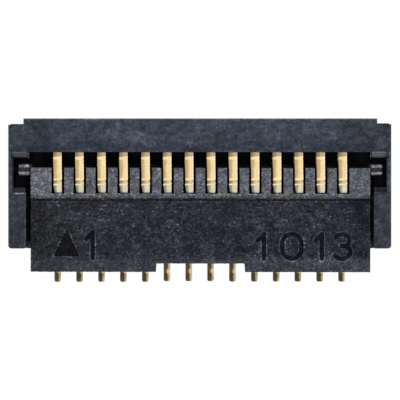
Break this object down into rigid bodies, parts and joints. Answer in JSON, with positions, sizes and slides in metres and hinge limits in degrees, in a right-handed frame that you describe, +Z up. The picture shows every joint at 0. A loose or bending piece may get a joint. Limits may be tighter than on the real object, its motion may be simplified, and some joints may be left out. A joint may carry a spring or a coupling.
{
  "type": "flex cable connector",
  "caption": "Low-profile surface-mount connector for a flat flex cable, with a row of gold contacts and a hinged locking lever, shown shut.",
  "frame": {"origin": "middle of the underside of the overall box, on the board plane under the solder feet", "axes": "+X along the row of contacts, +Y towards the rear bar of the housing, +Z up from the board"},
  "size_m": [0.0088, 0.0038, 0.0012],
  "materials": {
    "housing_plastic": "fine moulded matt",
    "lever_plastic": "grained matt",
    "tinned_sheet": "tinned, satin",
    "gold_plate": "gold plated, satin"
  },
  "bodies": {
    "base": {"housing": "housing_plastic", "fitting_left": "tinned_sheet", "fitting_right": "tinned_sheet", "contact_01": "gold_plate", "contact_02": "gold_plate", "contact_03": "gold_plate", "contact_04": "gold_plate", "contact_05": "gold_plate", "contact_06": "gold_plate", "contact_07": "gold_plate", "contact_08": "gold_plate", "contact_09": "gold_plate", "contact_10": "gold_plate", "contact_11": "gold_plate", "contact_12": "gold_plate", "contact_13": "gold_plate", "contact_14": "gold_plate"},
    "lever": {"actuator": "lever_plastic"}
  },
  "joints": [
    {"name": "lever_hinge", "type": "hinge", "parent": "base", "child": "lever", "pos_m": [0, 0.0007, 0.00088], "axis": [-1, 0, 0], "range_deg": [0, 95]}
  ]
}
